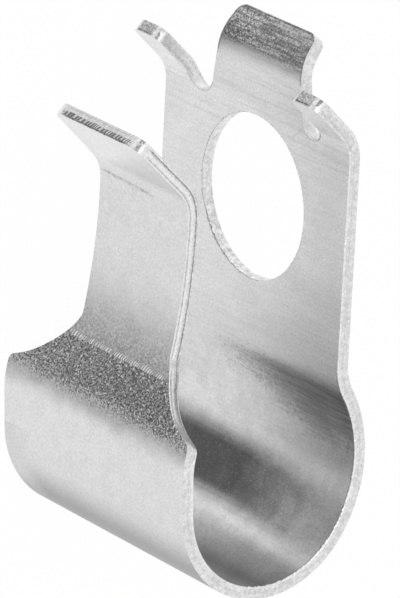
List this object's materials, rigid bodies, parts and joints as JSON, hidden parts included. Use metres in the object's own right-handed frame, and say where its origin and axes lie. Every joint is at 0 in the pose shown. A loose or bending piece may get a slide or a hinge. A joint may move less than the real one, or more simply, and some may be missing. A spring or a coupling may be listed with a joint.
{
  "type": "turbo hose clip",
  "caption": "Folded sheet-metal clip: a cradle wraps a hose, a narrow flared leg closes over it, and a plate with a large hole, two ears and a tab holds the clip.",
  "frame": {"origin": "on the axis of the hose cradle, in the plane of the side edge that the clip stands on", "axes": "+Z along the hose, up from the side edge that the clip stands on; +Y from the hose up the plate to the tab; +X from the hose to the plate's back"},
  "size_m": [0.0229, 0.0519, 0.0291],
  "materials": {
    "steel": "satin"
  },
  "bodies": {
    "root": {"turbo_hose_clip": "steel"}
  },
  "joints": []
}
